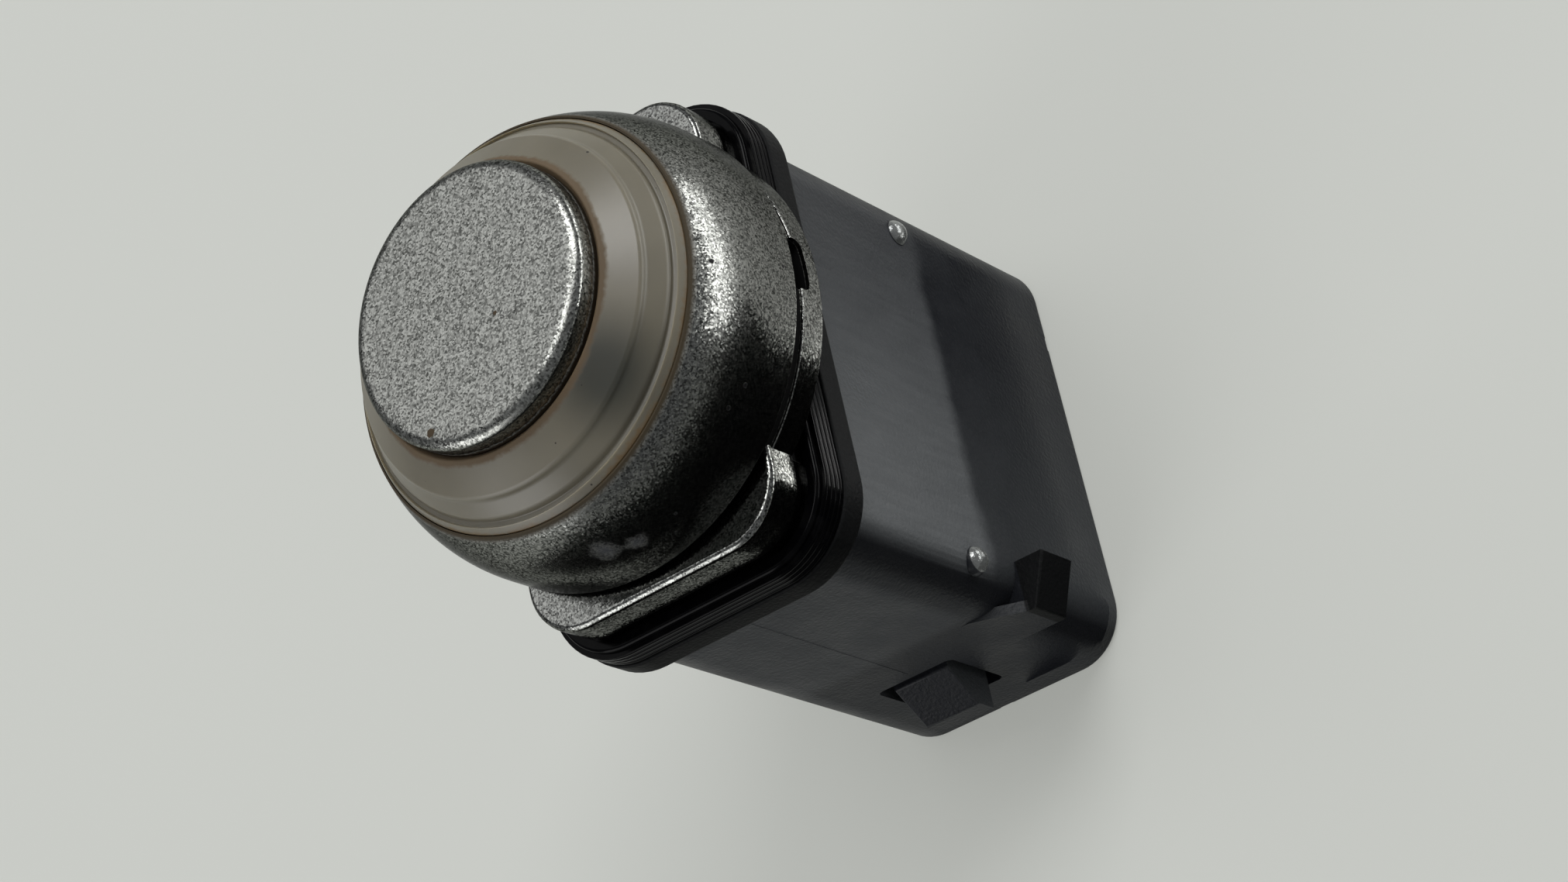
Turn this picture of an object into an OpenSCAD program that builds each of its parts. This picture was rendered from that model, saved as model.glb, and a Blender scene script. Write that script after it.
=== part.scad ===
// Ultrasonic parking sensor: a metal transducer cup in a soft ring, behind a painted
// trim ring and frame, on a black housing with a connector socket at its rear end.
// The sensing axis is +Z. The origin is at the centre of the rear rim.

/* [Transducer cup] */
// Outer diameter of the cup
cup_d = 14.4; // [13.4:0.1:15.8]
// Height of the cup from its open end to its face
cup_h = 9.4; // [8.6:0.1:10.5]
// Thickness of the cup's side wall
cup_wall = 1.2; // [0.8:0.1:1.8]
// Thickness of the vibrating face
cup_face_t = 0.8; // [0.5:0.1:1.2]
// Rounding of the edge of the face
cup_edge_r = 0.7; // [0.3:0.1:0.9]
// How far the face stands out of the soft ring
cup_proud = 1.3; // [0.6:0.1:1.8]
// Diameter of the piezo disc
piezo_d = 9; // [7:0.1:10.5]
// Thickness of the piezo disc
piezo_t = 0.5; // [0.3:0.1:0.8]
// Thickness of the damping pad behind the piezo disc
pad_t = 2; // [1:0.1:3]
// Radius of each lead wire
lead_r = 0.3; // [0.2:0.05:0.4]
// Distance between the two lead wires
lead_pitch = 3.2; // [2.6:0.1:4]
// Clear length of the lead wires along the board
lead_tail = 3; // [2:0.1:5]

/* [Soft ring] */
// Thickness of the sleeve around the cup
sleeve_t = 0.5; // [0.3:0.05:0.6]
// Thickness of the lip that the cup stands on
seat_t = 1; // [0.6:0.1:1.5]
// Width of the lip that the cup stands on
seat_w = 2; // [1.6:0.1:2.6]
// Diameter of the ring where it meets the trim
lip_d = 21; // [20.6:0.1:21.3]
// Height of the stepped cone that shows
cone_h = 2.8; // [2.2:0.1:3.6]
// Depth of the ring's outer flange under the cone
ring_flange_t = 1.4; // [1:0.1:2]
// Width of the dirt groove beside the cup
groove_w = 0.25; // [0.1:0.05:0.35]

/* [Trim ring] */
// Largest diameter of the trim ring
trim_d = 23.9; // [23.6:0.1:24.3]
// Height of the trim ring
trim_h = 6.5; // [5.8:0.1:7.2]
// Height of its straight lower stretch
trim_straight = 1.7; // [1:0.1:2.4]
// Wall of the trim ring
trim_wall = 1.25; // [0.9:0.05:1.4]
// Flat width of its inner edge
trim_edge = 0.1; // [0.05:0.05:0.3]
// Slit between the trim ring and the frame
slit = 0.4; // [0.2:0.05:0.6]

/* [Frame] */
// Half width of the frame's plate along X
frame_hx = 7.93; // [7.6:0.01:8.4]
// Half width of the frame's plate along Y
frame_hy = 12.65; // [12.2:0.01:13]
// Corner radius of the frame's plate
frame_r = 3.28; // [2.8:0.01:4]
// How far the frame's round shoulders are set back from the trim ring
shoulder_in = 0.3; // [0.15:0.05:0.5]
// Thickness of the frame's plate
frame_t = 2.05; // [1.9:0.05:2.6]
// Height of the stepped skirt under the plate
skirt_t = 1; // [0.6:0.1:1.4]
// How far the skirt is set back
skirt_in = 0.3; // [0.1:0.05:0.6]
// Width of the snap window in each shoulder
window_w = 2.9; // [2:0.1:3.6]
// Height of the snap window
window_h = 1.15; // [0.7:0.05:1.4]
// Radius of the corners of the snap window
window_r = 0.45; // [0.2:0.05:0.6]
// Depth of the snap window
window_depth = 0.8; // [0.4:0.1:1.1]

/* [Flange and seal] */
// How far the flange stands out of the body along X
flange_out_x = 1.3; // [1.1:0.05:1.6]
// How far the flange stands out of the body along Y
flange_out_y = 1.1; // [0.8:0.05:1.4]
// Corner radius of the flange
flange_r = 4.4; // [3.8:0.1:5]
// Thickness of the flange
flange_t = 1.6; // [1.2:0.1:2]
// Thickness of the rubber seal
seal_t = 1.4; // [1:0.1:1.8]
// How far the seal's edge is set back from the flange
seal_in = 0.12; // [0.05:0.01:0.2]
// Height of the raised bead on the seal
bead_h = 0.3; // [0.1:0.05:0.5]
// How far the bead is set back from the seal's edge
bead_in = 0.3; // [0.2:0.05:0.4]
// Width of the bead
bead_w = 0.6; // [0.4:0.05:0.7]

/* [Housing] */
// Half width of the body along X
body_hx = 7.74; // [7.5:0.02:8.2]
// Half width of the body along Y
body_hy = 12.52; // [12.2:0.02:13]
// Corner radius of the body
body_r = 3.03; // [2.6:0.01:3.6]
// Height of the body up to the flange
body_h = 25.3; // [24.6:0.1:27]
// Wall of the body
body_wall = 1.4; // [1.2:0.1:1.5]
// Thickness of the web under the flange
web_t = 0.9; // [0.6:0.1:1.5]
// Wall of the round neck that holds the soft ring
neck_wall = 0.6; // [0.5:0.05:0.7]
// Thickness of the neck's floor, which the foam pad lies on
neck_floor = 0.8; // [0.6:0.1:1.1]
// How far the neck's foot is set back, to hold the seal
foot_in = 0.9; // [0.7:0.1:1.3]
// Radius of the hole for the leads
lead_hole_r = 2.6; // [2.4:0.1:3.2]
// Radius of the small round pips on the wide sides
pip_r = 0.8; // [0.5:0.1:1]
// How far the pips stand out
pip_proud = 0.55; // [0.3:0.05:0.8]
// Height of the pips
pip_z = 14; // [13:0.1:15.5]
// Half the distance between the pips of one side
pip_y = 9.9; // [9:0.1:10.2]
// How far the middle of the two pips lies off the axis along Y
pip_shift = -0.45; // [-0.6:0.05:0.2]

/* [Latches] */
// Height of the lower end of the corner tooth
tooth_z = 7.4; // [6:0.1:8.6]
// Length of the corner tooth along the axis
tooth_l = 2.9; // [2:0.1:3.6]
// Width of the corner tooth along Y
tooth_w = 2.9; // [2.4:0.1:3.6]
// How far the corner tooth stands out of the wide side at the corner
tooth_proud = 0.66; // [0.4:0.02:1]
// How much further it stands out at its other end
tooth_lean = 1.2; // [0.8:0.1:1.5]
// Length of the gusset in front of the corner tooth
gusset_l = 1.8; // [1.2:0.1:2.6]
// Width of the gusset at its front end
gusset_w = 0.5; // [0.3:0.1:1]
// Thickness of the gusset
gusset_t = 0.6; // [0.4:0.1:0.9]
// Width of the wedge latch on the narrow side
wedge_w = 3.6; // [3:0.1:4.2]
// Place of the wedge latch along X
wedge_x = -0.6; // [-1:0.1:0]
// How far the wedge latch stands out
wedge_proud = 1.7; // [1.2:0.1:2]
// Length of the wedge latch along the axis
wedge_l = 3.8; // [3.2:0.1:4.4]
// Length of the flat tip of the wedge latch
wedge_tip_l = 1.4; // [0.8:0.1:1.8]
// Depth of the recess around the wedge latch
recess_depth = 0.8; // [0.4:0.1:0.9]
// Room around the wedge latch in its recess
recess_room = 0.7; // [0.5:0.1:1]
// Height of the lower end of the recess
recess_z = 3.9; // [3:0.1:4.6]

/* [Connector] */
// Half width of the socket along X
socket_hx = 4.6; // [4.5:0.05:5.2]
// Half width of the socket along Y
socket_hy = 7.4; // [6.8:0.1:7.8]
// Corner radius of the socket
socket_r = 1; // [0.5:0.1:1.6]
// Depth of the socket
socket_depth = 8.8; // [7.5:0.1:9.2]
// Thickness of the wall that holds the terminals
pin_wall_t = 1.6; // [1.2:0.1:2.2]
// How far the connector sits inside the rear rim
shell_in = 0.6; // [0.3:0.1:1]
// Width of the slots that lighten the connector
slot_w = 1.2; // [0.8:0.1:1.6]
// Depth of the slots that lighten the connector
slot_depth = 4.8; // [4:0.1:5.2]
// Height of the seal around the connector
ring_seal_h = 1.4; // [1:0.1:1.8]
// Thickness of the seal around the connector
ring_seal_t = 0.8; // [0.5:0.1:1]
// Height of the seal's groove above the rear rim
ring_seal_z = 6.8; // [6.4:0.1:7.6]
// Distance between terminals
pin_pitch = 4; // [3:0.1:5]
// Thickness of each terminal
pin_t = 0.64; // [0.5:0.02:0.7]
// Width of each terminal
pin_w = 1; // [0.7:0.1:1.5]
// Distance from the socket's mouth to the terminal tips
pin_set_back = 2; // [1:0.1:3]
// Length of each terminal along the board
pin_tail = 2.6; // [2:0.1:3]

/* [Circuit board] */
// Thickness of the board
board_t = 1.2; // [0.8:0.1:1.6]
// Gap between the board and the web above it
board_gap = 0.4; // [0.2:0.1:0.8]
// Depth of the guide ribs that hold the board
guide_w = 1.2; // [1:0.1:1.4]
// Thickness of the guide ribs
guide_t = 0.8; // [0.6:0.1:1]
// Diameter of the transformer
coil_d = 7; // [6.4:0.1:7.4]
// Height of the transformer from the board
coil_h = 4.4; // [3.6:0.1:4.6]
// Wall of the transformer's core
coil_wall = 0.9; // [0.7:0.1:1.1]
// Radius of the core's middle post
coil_post_r = 1.3; // [1:0.1:1.5]
// Width of the driver chip
chip_w = 5; // [4:0.1:6]
// Length of the driver chip
chip_l = 6; // [5:0.1:7]
// Height of the driver chip
chip_h = 1.4; // [1:0.1:1.8]
// Diameter of the storage capacitor
can_d = 4.6; // [4:0.1:4.8]
// Height of the storage capacitor
can_h = 5; // [4:0.1:5.4]
// Room between the parts on the board
part_room = 0.4; // [0.2:0.1:0.6]
// Length of the small chip parts
chip_part_l = 1.6; // [1.2:0.1:2]
// Width of the small chip parts
chip_part_w = 0.8; // [0.6:0.1:1]
// Height of the chip capacitors
chip_cap_h = 0.8; // [0.6:0.1:1]
// Height of the chip resistors
chip_res_h = 0.5; // [0.4:0.1:0.7]
// Distance between the small chip parts
chip_part_pitch = 1.9; // [1.5:0.1:2]
// Number of small chip parts in each column
chip_part_count = 4; // [2:1:5]

/* [Clearances] */
// Room at close fits
fit_clear = 0.05; // [0.03:0.01:0.08]
// Room at sliding fits
slide_clear = 0.1; // [0.06:0.01:0.14]

/* [Hidden] */
$fn = 96;
dome_steps = 12;

// Heights from the rear rim up to the sensing face
z_flange = body_h;
z_seal = z_flange + flange_t;
z_skirt = z_seal + seal_t;
z_frame = z_skirt + skirt_t;
z_slit = z_frame + frame_t;
z_trim = z_slit + slit;
z_lip = z_trim + trim_h;
z_cone = z_lip + cone_h;
z_face = z_cone + cup_proud;
z_ring_flange = z_lip - ring_flange_t;
z_cup = z_face - cup_h;
z_seat = z_cup - seat_t;
z_neck = z_skirt + bead_h + fit_clear;
z_foam = z_neck + neck_floor;
z_web = z_flange - web_t;
z_piezo = z_face - cup_face_t - piezo_t;
z_pad = z_piezo - pad_t;

// Radii of the round stack
cup_r = cup_d / 2;
cup_in_r = cup_r - cup_wall;
sleeve_r = cup_r + sleeve_t;
seat_r = cup_r - seat_w;
neck_in_r = sleeve_r + fit_clear;
neck_r = neck_in_r + neck_wall;
bore_r = neck_r + slide_clear;
foot_r = neck_r - foot_in;
trim_r = trim_d / 2;
shoulder_r = trim_r - shoulder_in;
trim_in_r = trim_r - trim_wall;
spigot_r = trim_in_r - fit_clear;
lip_r = lip_d / 2;
ring_r = lip_r - fit_clear;
z_spigot = z_ring_flange - fit_clear;

// Outline of the flange, and the inside of the housing with the connector in it
flange_hx = body_hx + flange_out_x;
flange_hy = body_hy + flange_out_y;
cave_hx = body_hx - body_wall;
cave_hy = body_hy - body_wall;
cave_r = max(body_r - body_wall, 0.5);
shell_hx = cave_hx - slide_clear;
shell_hy = cave_hy - slide_clear;
shell_r = max(cave_r - slide_clear, 0.4);
z_socket = shell_in + socket_depth;
z_shell = z_socket + pin_wall_t;
slot_y = (socket_hy + shell_hy - ring_seal_t) / 2;

// Board, terminals and leads share the board's inner face
board_x = pin_t / 2;
board_top_x = board_x + board_t;
board_z = z_shell + slide_clear;
board_end_z = z_web - board_gap;
board_hy = cave_hy - slide_clear;
pin_z = shell_in + pin_set_back;
pin_end_z = board_z + pin_tail;
lead_x = board_x - lead_r - fit_clear;
lead_z = board_end_z - lead_tail;
coil_r = coil_d / 2;

// The parts on the board are centred along the axis and stand side by side along Y
part_z = (board_z + board_end_z) / 2;
column_y = (chip_part_l + part_room) / 2;
next_y = chip_part_l + 1.5 * part_room;
coil_y = next_y + coil_r;
chip_y = next_y + chip_w / 2;
can_y = pin_pitch + pin_w / 2 + part_room + can_d / 2;

// Filled outline with four round corners
module rounded(hx, hy, r) {
    square([2 * hx - 2 * r, 2 * hy], center = true);
    square([2 * hx, 2 * hy - 2 * r], center = true);
    for (sx = [-1, 1], sy = [-1, 1])
        translate([sx * (hx - r), sy * (hy - r)]) circle(r);
}

// Block with round upright edges
module rounded_block(hx, hy, r, z0, z1) {
    translate([0, 0, z0]) linear_extrude(z1 - z0) rounded(hx, hy, r);
}

// Upright round bar between two heights
module bar(r, z0, z1) {
    translate([0, 0, z0]) cylinder(r = r, h = z1 - z0);
}

// Upright round tube between two heights
module tube(r_out, r_in, z0, z1) {
    difference() {
        bar(r_out, z0, z1);
        bar(r_in, z0 - 1, z1 + 1);
    }
}

// Box between two corners
module box(a, b) {
    translate(a) cube(b - a);
}

// Holes for the two leads through the soft fillings
module lead_holes(z0, z1) {
    for (s = [-1, 1])
        translate([lead_x, s * lead_pitch / 2, 0]) bar(lead_r + fit_clear, z0 - 1, z1 + 1);
}

// One lead wire from the board to the piezo disc
module lead(side) {
    translate([lead_x, side * lead_pitch / 2, 0]) bar(lead_r, lead_z, z_piezo);
}

// One flat terminal from the socket to the board
module terminal(place) {
    y = place * pin_pitch;
    box([board_x - pin_t, y - pin_w / 2, pin_z], [board_x, y + pin_w / 2, pin_end_z]);
}

// Column of small chip parts on the outer face of the board
module chip_column(y, h) {
    for (i = [0 : chip_part_count - 1]) {
        z = part_z + (i - (chip_part_count - 1) / 2) * chip_part_pitch;
        translate([board_top_x, y - chip_part_l / 2, z - chip_part_w / 2])
            cube([h, chip_part_l, chip_part_w]);
    }
}

module membrane_cup() {
    color("silver") difference() {
        rotate_extrude() polygon(concat(
            [[0, z_cup], [cup_r, z_cup]],
            [for (a = [0 : 15 : 90])
                [cup_r - cup_edge_r + cup_edge_r * cos(a), z_face - cup_edge_r + cup_edge_r * sin(a)]],
            [[0, z_face]]
        ));
        bar(cup_in_r, z_cup - 1, z_face - cup_face_t);
    }
}

module piezo_disc() {
    color("khaki") bar(piezo_d / 2, z_piezo, z_piezo + piezo_t);
}

module damping_pad() {
    color("gray") difference() {
        bar(cup_in_r - fit_clear, z_pad, z_piezo);
        lead_holes(z_pad, z_piezo);
    }
}

module cup_filler() {
    color("gainsboro") difference() {
        bar(cup_in_r - fit_clear, z_cup, z_pad);
        lead_holes(z_cup, z_pad);
    }
}

module signal_lead() {
    color("firebrick") lead(1);
}

module return_lead() {
    color("black") lead(-1);
}

// Stepped cone outside, sleeve around the cup, and the lip that the cup stands on
module decoupling_ring() {
    run = ring_r - cup_r - groove_w;
    color("darkgray") rotate_extrude() polygon([
        [seat_r, z_seat], [sleeve_r, z_seat], [sleeve_r, z_ring_flange], [ring_r, z_ring_flange],
        [ring_r, z_lip], [ring_r - 0.1 * run, z_lip + 0.1 * cone_h],
        [ring_r - 0.165 * run, z_lip + 0.1 * cone_h], [ring_r - 0.2 * run, z_lip + 0.18 * cone_h],
        [ring_r - 0.445 * run, z_lip + 0.53 * cone_h], [ring_r - 0.47 * run, z_lip + 0.59 * cone_h],
        [cup_r + groove_w, z_cone], [cup_r, z_cone - groove_w], [cup_r, z_cup], [seat_r, z_cup]
    ]);
}

module backing_foam() {
    color("dimgray") tube(neck_in_r - fit_clear, lead_hole_r, z_foam, z_seat);
}

// Domed ring whose straight lower stretch fits the hole in the bumper; the dome is one round arc
module trim_ring() {
    z_straight = z_trim + trim_straight;
    rise = z_lip - z_straight;
    sweep = 2 * atan((trim_r - lip_r - trim_edge) / rise);
    dome_r = rise / sin(sweep);
    color("silver") rotate_extrude() polygon(concat(
        [[trim_in_r, z_trim], [trim_r, z_trim]],
        [for (i = [0 : dome_steps])
            [trim_r - dome_r * (1 - cos(sweep * i / dome_steps)), z_straight + dome_r * sin(sweep * i / dome_steps)]],
        [[lip_r, z_lip], [lip_r, z_ring_flange], [trim_in_r, z_ring_flange]]
    ));
}

// Plate with round shoulders, the spigot that carries the trim ring, and a stepped skirt
module base_frame() {
    color("silver") difference() {
        union() {
            rounded_block(frame_hx, frame_hy, frame_r, z_frame, z_slit);
            bar(shoulder_r, z_frame, z_slit);
            bar(spigot_r, z_slit - 0.1, z_spigot);
            rounded_block(frame_hx - skirt_in, frame_hy - skirt_in, frame_r - skirt_in, z_skirt, z_frame + 0.1);
        }
        bar(bore_r, z_skirt - 1, z_spigot + 1);
        for (s = [0, 180])
            rotate(s) snap_window();
    }
}

// Window with a round lower end, cut into a shoulder of the frame
module snap_window() {
    x = shoulder_r - window_depth;
    half = window_w / 2;
    z_low = z_slit - window_h;
    for (side = [-1, 1])
        translate([x, side * (half - window_r), z_low + window_r]) rotate([0, 90, 0])
            cylinder(r = window_r, h = window_depth + 1);
    box([x, window_r - half, z_low], [shoulder_r + 1, half - window_r, z_slit + slit]);
    box([x, -half, z_low + window_r], [shoulder_r + 1, half, z_slit + slit]);
}

module flange_seal() {
    hx = flange_hx - seal_in;
    hy = flange_hy - seal_in;
    r = flange_r - seal_in;
    color("black") difference() {
        union() {
            rounded_block(hx, hy, r, z_seal, z_skirt);
            rounded_block(hx - bead_in, hy - bead_in, r - bead_in, z_skirt - 0.1, z_skirt + bead_h);
        }
        rounded_block(hx - bead_in - bead_w, hy - bead_in - bead_w, r - bead_in - bead_w,
                      z_skirt, z_skirt + bead_h + 1);
        bar(foot_r + fit_clear, z_seal - 1, z_skirt + 1);
    }
}

// Tooth on a corner of the body, with a gusset in front of it
module corner_tooth() {
    x0 = body_hx - body_r;
    x1 = body_hx + tooth_proud;
    y0 = -body_hy;
    y1 = y0 + tooth_w;
    z1 = tooth_z + tooth_l;
    translate([0, 0, tooth_z]) linear_extrude(tooth_l)
        polygon([[x0, y0], [x1, y0], [x1 + tooth_lean, y1], [x0, y1]]);
    translate([0, y0 + gusset_t, 0]) rotate([90, 0, 0])
        linear_extrude(gusset_t) polygon([
            [x0, z1 - 0.1], [x1, z1 - 0.1], [x1, z1], [x0 + gusset_w, z1 + gusset_l], [x0, z1 + gusset_l]
        ]);
}

// Recess around the wedge latch
module wedge_recess() {
    h = wedge_w / 2 + recess_room;
    z1 = recess_z + wedge_l + 2 * recess_room;
    box([wedge_x - h, -body_hy - 1, recess_z], [wedge_x + h, -body_hy + recess_depth, z1]);
}

// Wedge latch that rises towards the rear, up to its flat tip
module wedge_latch() {
    z0 = recess_z + recess_room;
    y0 = -body_hy + recess_depth + 0.1;
    y1 = -body_hy - wedge_proud;
    translate([wedge_x - wedge_w / 2, 0, 0]) rotate([90, 0, 90])
        linear_extrude(wedge_w) polygon([
            [y0, z0], [y1, z0], [y1, z0 + wedge_tip_l], [-body_hy, z0 + wedge_l], [y0, z0 + wedge_l]
        ]);
}

// Guide ribs that hold one edge of the board
module board_guide() {
    y0 = cave_hy - guide_w;
    y1 = cave_hy + 0.2;
    x0 = board_x - slide_clear;
    x1 = board_top_x + slide_clear;
    box([x0 - guide_t, y0, board_z + 0.5], [x0, y1, z_web + 0.2]);
    box([x1, y0, board_z + 0.5], [x1 + guide_t, y1, z_web + 0.2]);
}

// Small round pips on one wide side
module pips() {
    for (s = [-1, 1])
        translate([body_hx + pip_proud - pip_r, s * pip_y + pip_shift, pip_z]) sphere(pip_r);
}

module housing() {
    color("#2b2c2e") {
        difference() {
            union() {
                difference() {
                    rounded_block(body_hx, body_hy, body_r, 0, z_flange + 0.1);
                    for (s = [0, 180])
                        rotate(s) wedge_recess();
                }
                rounded_block(flange_hx, flange_hy, flange_r, z_flange, z_seal);
                bar(foot_r, z_seal - 0.1, z_neck + 0.1);
                bar(neck_r, z_neck, z_spigot);
                for (s = [0, 180])
                    rotate(s) {
                        corner_tooth();
                        wedge_latch();
                        pips();
                    }
            }
            rounded_block(cave_hx, cave_hy, cave_r, -1, z_web);
            bar(lead_hole_r, z_web - 1, z_spigot);
            bar(neck_in_r, z_foam, z_spigot + 1);
        }
        for (s = [0, 1])
            mirror([0, s, 0]) board_guide();
    }
}

// Socket block that fills the rear end of the housing
module connector_shell() {
    color("#1d1e20") difference() {
        rounded_block(shell_hx, shell_hy, shell_r, shell_in, z_shell);
        rounded_block(socket_hx, socket_hy, socket_r, shell_in - 1, z_socket);
        for (s = [-1, 1])
            translate([0, s * slot_y, 0])
                box([-socket_hx, -slot_w / 2, shell_in - 1], [socket_hx, slot_w / 2, shell_in + slot_depth]);
        for (p = [-1, 0, 1])
            terminal(p);
        difference() {
            rounded_block(shell_hx + 1, shell_hy + 1, shell_r + 1, ring_seal_z, ring_seal_z + ring_seal_h);
            rounded_block(shell_hx - ring_seal_t, shell_hy - ring_seal_t, max(shell_r - ring_seal_t, 0.3),
                          ring_seal_z - 1, ring_seal_z + ring_seal_h + 1);
        }
    }
}

module shell_seal() {
    color("black") difference() {
        rounded_block(cave_hx - fit_clear, cave_hy - fit_clear, cave_r - fit_clear,
                      ring_seal_z, ring_seal_z + ring_seal_h);
        rounded_block(shell_hx - ring_seal_t, shell_hy - ring_seal_t, max(shell_r - ring_seal_t, 0.3),
                      ring_seal_z - 1, ring_seal_z + ring_seal_h + 1);
    }
}

module circuit_board() {
    color("darkgreen") box([board_x, -board_hy, board_z], [board_top_x, board_hy, board_end_z]);
}

// Pot core on the outer face of the board, open towards the board
module transformer_core() {
    color("#4a4a4a") translate([board_top_x, coil_y, part_z]) rotate([0, 90, 0]) difference() {
        cylinder(r = coil_r, h = coil_h);
        difference() {
            translate([0, 0, -1]) cylinder(r = coil_r - coil_wall, h = coil_h - coil_wall + 1);
            translate([0, 0, -2]) cylinder(r = coil_post_r, h = coil_h + 4);
        }
    }
}

module transformer_winding() {
    color("chocolate") translate([board_top_x, coil_y, part_z]) rotate([0, 90, 0]) difference() {
        cylinder(r = coil_r - coil_wall - fit_clear, h = coil_h - coil_wall - fit_clear);
        translate([0, 0, -1]) cylinder(r = coil_post_r + fit_clear, h = coil_h + 2);
    }
}

module driver_chip() {
    color("#202020") translate([board_top_x, -chip_y - chip_w / 2, part_z - chip_l / 2])
        cube([chip_h, chip_w, chip_l]);
}

module storage_capacitor() {
    color("#3a3f46") translate([board_x, -can_y, part_z]) rotate([0, -90, 0])
        cylinder(d = can_d, h = can_h);
}

module chip_capacitors() {
    color("tan") chip_column(-column_y, chip_cap_h);
}

module chip_resistors() {
    color("#151515") chip_column(column_y, chip_res_h);
}

module terminal_supply() {
    color("goldenrod") terminal(-1);
}

module terminal_signal() {
    color("goldenrod") terminal(0);
}

module terminal_ground() {
    color("goldenrod") terminal(1);
}

membrane_cup();
piezo_disc();
damping_pad();
cup_filler();
signal_lead();
return_lead();
decoupling_ring();
backing_foam();
trim_ring();
base_frame();
flange_seal();
housing();
connector_shell();
shell_seal();
circuit_board();
transformer_core();
transformer_winding();
driver_chip();
storage_capacitor();
chip_capacitors();
chip_resistors();
terminal_supply();
terminal_signal();
terminal_ground();
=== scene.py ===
import math
import bmesh
import bpy
from mathutils import Matrix, Vector


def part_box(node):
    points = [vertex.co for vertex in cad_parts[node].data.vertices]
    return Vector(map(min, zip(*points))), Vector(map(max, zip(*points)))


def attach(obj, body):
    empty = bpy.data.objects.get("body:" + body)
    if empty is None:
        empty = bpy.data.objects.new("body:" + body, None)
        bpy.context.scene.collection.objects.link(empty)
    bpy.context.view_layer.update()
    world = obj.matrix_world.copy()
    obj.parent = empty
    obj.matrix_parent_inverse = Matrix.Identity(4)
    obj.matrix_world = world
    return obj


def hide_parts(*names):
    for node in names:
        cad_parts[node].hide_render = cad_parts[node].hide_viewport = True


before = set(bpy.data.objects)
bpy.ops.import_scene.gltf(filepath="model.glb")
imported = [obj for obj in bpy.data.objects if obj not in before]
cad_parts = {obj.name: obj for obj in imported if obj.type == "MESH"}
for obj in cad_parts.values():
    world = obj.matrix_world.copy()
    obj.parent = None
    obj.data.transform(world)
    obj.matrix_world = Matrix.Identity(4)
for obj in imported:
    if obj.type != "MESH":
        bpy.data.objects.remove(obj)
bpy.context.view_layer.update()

# Camera: the sensor is seen from above its face, turned so that the long body runs back to the right.
# Its place is in millimetres in the part's own frame.
MM = 0.001
camera_place = Vector((82.43, -74.68, 145.33))
camera_right = Vector((0.76902, -0.19514, -0.60871))
camera_up = Vector((0.41370, 0.87787, 0.24123))
camera_back = camera_right.cross(camera_up)
camera_data = bpy.data.cameras.new("camera")
camera_data.sensor_width = 36
camera_data.lens = 73.0
camera_data.clip_start = 0.01
camera = bpy.data.objects.new("camera", camera_data)
bpy.context.collection.objects.link(camera)
turn = Matrix((camera_right, camera_up, camera_back)).transposed().to_4x4()
camera.matrix_world = Matrix.Translation(camera_place * MM) @ turn
bpy.context.scene.camera = camera
bpy.context.scene.view_settings.view_transform = "Standard"


# Stage: a pale, slightly warm table top of matt laminate.
# It takes the part's soft shadow, and its own colour makes the background.
def add(tree, kind, inputs=None, **settings):
    """Adds one node: settings are its properties, and an input given as a socket is linked."""
    node = tree.nodes.new("ShaderNode" + kind)
    for name, value in settings.items():
        setattr(node, name, value)
    for name, value in (inputs or {}).items():
        if isinstance(value, bpy.types.NodeSocket):
            tree.links.new(value, node.inputs[name])
        else:
            node.inputs[name].default_value = value
    return node


def tint(code):
    """Turns an sRGB hex colour into linear light."""
    parts = [int(code[i:i + 2], 16) / 255 for i in (1, 3, 5)]
    return [c / 12.92 if c <= 0.04045 else ((c + 0.055) / 1.055) ** 2.4 for c in parts] + [1]


def start_material(name, roughness, metallic=0.0):
    """Makes a material and returns it with its tree, its shader and the piece's own coordinates."""
    material = bpy.data.materials.new(name)
    material.use_nodes = True
    tree = material.node_tree
    shader = tree.nodes["Principled BSDF"]
    shader.inputs["Roughness"].default_value = roughness
    shader.inputs["Metallic"].default_value = metallic
    return material, tree, shader, add(tree, "TexCoord").outputs["Object"]


floor_half = 1500
glow_share = 0.6
laminate, tree, shader, place = start_material("matt_laminate", 0.8)
shader.inputs["Base Color"].default_value = tint("#f1f3ee")
shader.inputs["Specular IOR Level"].default_value = 0.1
# The eye and the part's reflections see it partly as an even glow, and the rest keeps the soft shadow.
path = add(tree, "LightPath").outputs
seen = path["Is Camera Ray"]
for kind in ("Is Glossy Ray", "Is Transmission Ray"):
    seen = add(tree, "Math", {0: seen, 1: path[kind]}, operation="MAXIMUM").outputs[0]
share = add(tree, "Math", {0: seen, 1: glow_share}, operation="MULTIPLY").outputs[0]
glow = add(tree, "Emission", {"Color": tint("#b4b6b0")}).outputs[0]
blend = add(tree, "MixShader", {0: share, 1: shader.outputs[0], 2: glow}).outputs[0]
tree.links.new(blend, tree.nodes["Material Output"].inputs["Surface"])
form = bmesh.new()
bmesh.ops.create_grid(form, x_segments=1, y_segments=1, size=floor_half * MM)
floor_mesh = bpy.data.meshes.new("floor")
form.to_mesh(floor_mesh)
form.free()
floor_mesh.materials.append(laminate)
floor = bpy.data.objects.new("floor", floor_mesh)
bpy.context.collection.objects.link(floor)

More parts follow.
